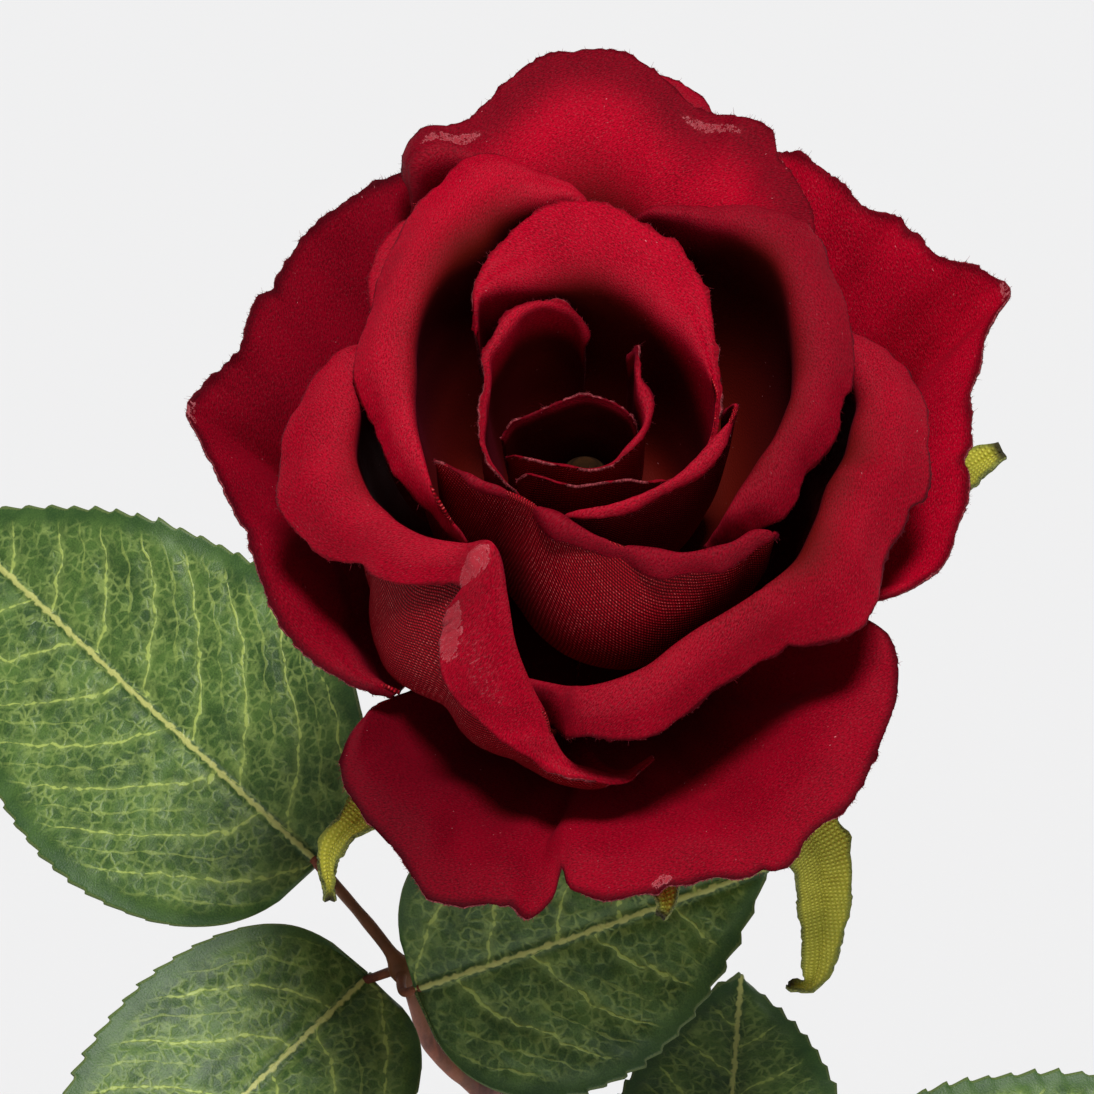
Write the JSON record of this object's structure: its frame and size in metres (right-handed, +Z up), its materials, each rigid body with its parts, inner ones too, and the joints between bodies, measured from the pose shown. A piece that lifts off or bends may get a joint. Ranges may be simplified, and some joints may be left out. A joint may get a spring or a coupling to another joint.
{
  "type": "rose in a bud vase",
  "caption": "Crimson fabric rose on a leafy stem, standing in a plain glazed bud vase; a table or shelf decoration.",
  "frame": {"origin": "middle of the vase's foot, on the surface that it stands on", "axes": "+Z up along the vase; the bloom leans over the front, towards -Y; +X to the right of someone facing the bloom"},
  "size_m": [0.1702, 0.1466, 0.4051],
  "materials": {
    "petal_fabric": "matte",
    "leaf_fabric": "satin",
    "sepal_fabric": "matte",
    "core_fabric": "matte",
    "stem_plastic": "satin",
    "calyx_plastic": "satin",
    "glaze": "gloss"
  },
  "bodies": {
    "root": {"vase": "glaze", "stem": "stem_plastic", "bloom_core": "core_fabric", "calyx": "calyx_plastic", "outer_petal_front": "petal_fabric", "outer_petal_right": "petal_fabric", "outer_petal_left": "petal_fabric", "outer_petal_back": "petal_fabric", "middle_petal_left": "petal_fabric", "middle_petal_right": "petal_fabric", "middle_petal_back": "petal_fabric", "middle_petal_left_back": "petal_fabric", "inner_petal_back": "petal_fabric", "inner_petal_left": "petal_fabric", "inner_petal_front": "petal_fabric", "inner_petal_right": "petal_fabric", "bud_petal_right": "petal_fabric", "bud_petal_back": "petal_fabric", "bud_petal_left": "petal_fabric", "bud_petal_front": "petal_fabric", "bud_petal_coil": "petal_fabric", "bud_petal_heart": "petal_fabric", "sepal_front": "sepal_fabric", "sepal_front_right": "sepal_fabric", "sepal_right": "sepal_fabric", "sepal_back": "sepal_fabric", "sepal_left": "sepal_fabric", "rachis_left": "stem_plastic", "rachis_right": "stem_plastic", "leaflet_left_end": "leaf_fabric", "leaflet_left_front": "leaf_fabric", "leaflet_under_bloom": "leaf_fabric", "leaflet_right_end": "leaf_fabric", "leaflet_right_back": "leaf_fabric", "leaflet_right_front": "leaf_fabric"}
  },
  "joints": []
}
